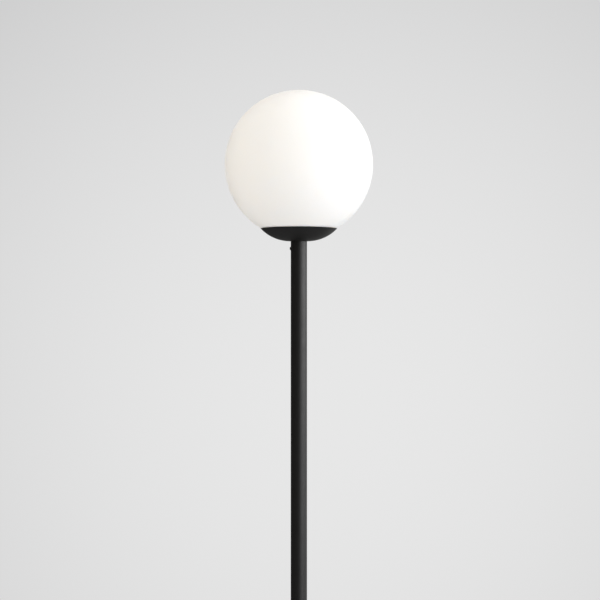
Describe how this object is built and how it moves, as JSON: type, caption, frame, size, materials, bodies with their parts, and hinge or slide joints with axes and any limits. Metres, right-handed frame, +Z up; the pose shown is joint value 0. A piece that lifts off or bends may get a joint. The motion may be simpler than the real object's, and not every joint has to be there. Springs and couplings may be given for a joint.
{
  "type": "globe floor lamp",
  "caption": "Floor lamp with an opal glass globe on a shallow black dish, a straight slim black tube and a round weighted base; the globe lifts off and the bulb unscrews.",
  "frame": {"origin": "centre of the round base, on the floor", "axes": "+Z up along the pole, +Y towards the lead inlet at the back of the base"},
  "size_m": [0.26, 0.2612, 1.5002],
  "materials": {
    "felt": "black needle felt, glued on",
    "cast_iron": "as cast, thinly painted",
    "black_coat": "matt black powder coat on spun steel",
    "black_bush": "moulded black nylon",
    "zinc_steel": "zinc plated steel",
    "white_nylon": "moulded nylon",
    "brass": "turned brass",
    "turned_steel": "turned steel",
    "black_screw": "black oxide steel",
    "spring_steel": "bright spring steel",
    "rivet_aluminium": "aluminium",
    "silicone": "translucent white silicone",
    "opal_glass": "satin-etched opal glass",
    "holder_black": "moulded black thermoplastic",
    "holder_ceramic": "glazed ceramic",
    "nickel_brass": "nickel plated brass",
    "contact_alloy": "solder tip on a black glass seat",
    "bulb_white": "white moulded housing",
    "board_white": "white coated aluminium board",
    "bulb_diffuser": "milky polycarbonate",
    "wire_brown": "brown PVC on copper",
    "wire_blue": "blue PVC on copper"
  },
  "bodies": {
    "lamp": {"base_felt": "felt", "base_weight": "cast_iron", "base_cover": "black_coat", "lead_gland": "black_bush", "base_washer": "zinc_steel", "base_nut": "zinc_steel", "base_nipple": "zinc_steel", "terminal_block": "white_nylon", "block_clamp_screws": "brass", "block_screw": "zinc_steel", "foot_plug": "turned_steel", "pole": "black_coat", "pole_spigot": "turned_steel", "set_screw": "black_screw", "head_nipple": "zinc_steel", "shade_dish": "black_coat", "dish_spacer": "zinc_steel", "clip_plate": "zinc_steel", "head_nut": "zinc_steel", "spring_clips": "spring_steel", "clip_rivets": "rivet_aluminium", "globe_seat_ring": "silicone", "holder_dome": "holder_black", "holder_insert": "holder_ceramic", "holder_terminal_screws": "brass", "screw_shell": "nickel_brass", "centre_contact": "brass", "holder_skirt": "holder_black", "wire_live": "wire_brown", "wire_neutral": "wire_blue"},
    "globe": {"globe": "opal_glass"},
    "bulb_tip": {"bulb_contact": "contact_alloy"},
    "bulb": {"bulb_cap": "nickel_brass", "bulb_housing": "bulb_white", "bulb_led_board": "board_white", "bulb_dome": "bulb_diffuser"}
  },
  "joints": [
    {"name": "globe_lift", "type": "slide", "parent": "lamp", "child": "globe", "axis": [0, 0, 1], "range_m": [0, 0.18]},
    {"name": "bulb_rise", "type": "slide", "parent": "lamp", "child": "bulb_tip", "axis": [0, 0, 1], "range_m": [0, 0.022]},
    {"name": "bulb_turn", "type": "hinge", "parent": "bulb_tip", "child": "bulb", "pos_m": [0, 0, 1.35], "axis": [0, 0, 1], "range_deg": [0, 2160]}
  ],
  "couplings": [
    {"joint": "bulb_rise", "follows": "bulb_turn", "m_per_rad": 0.00057757}
  ]
}
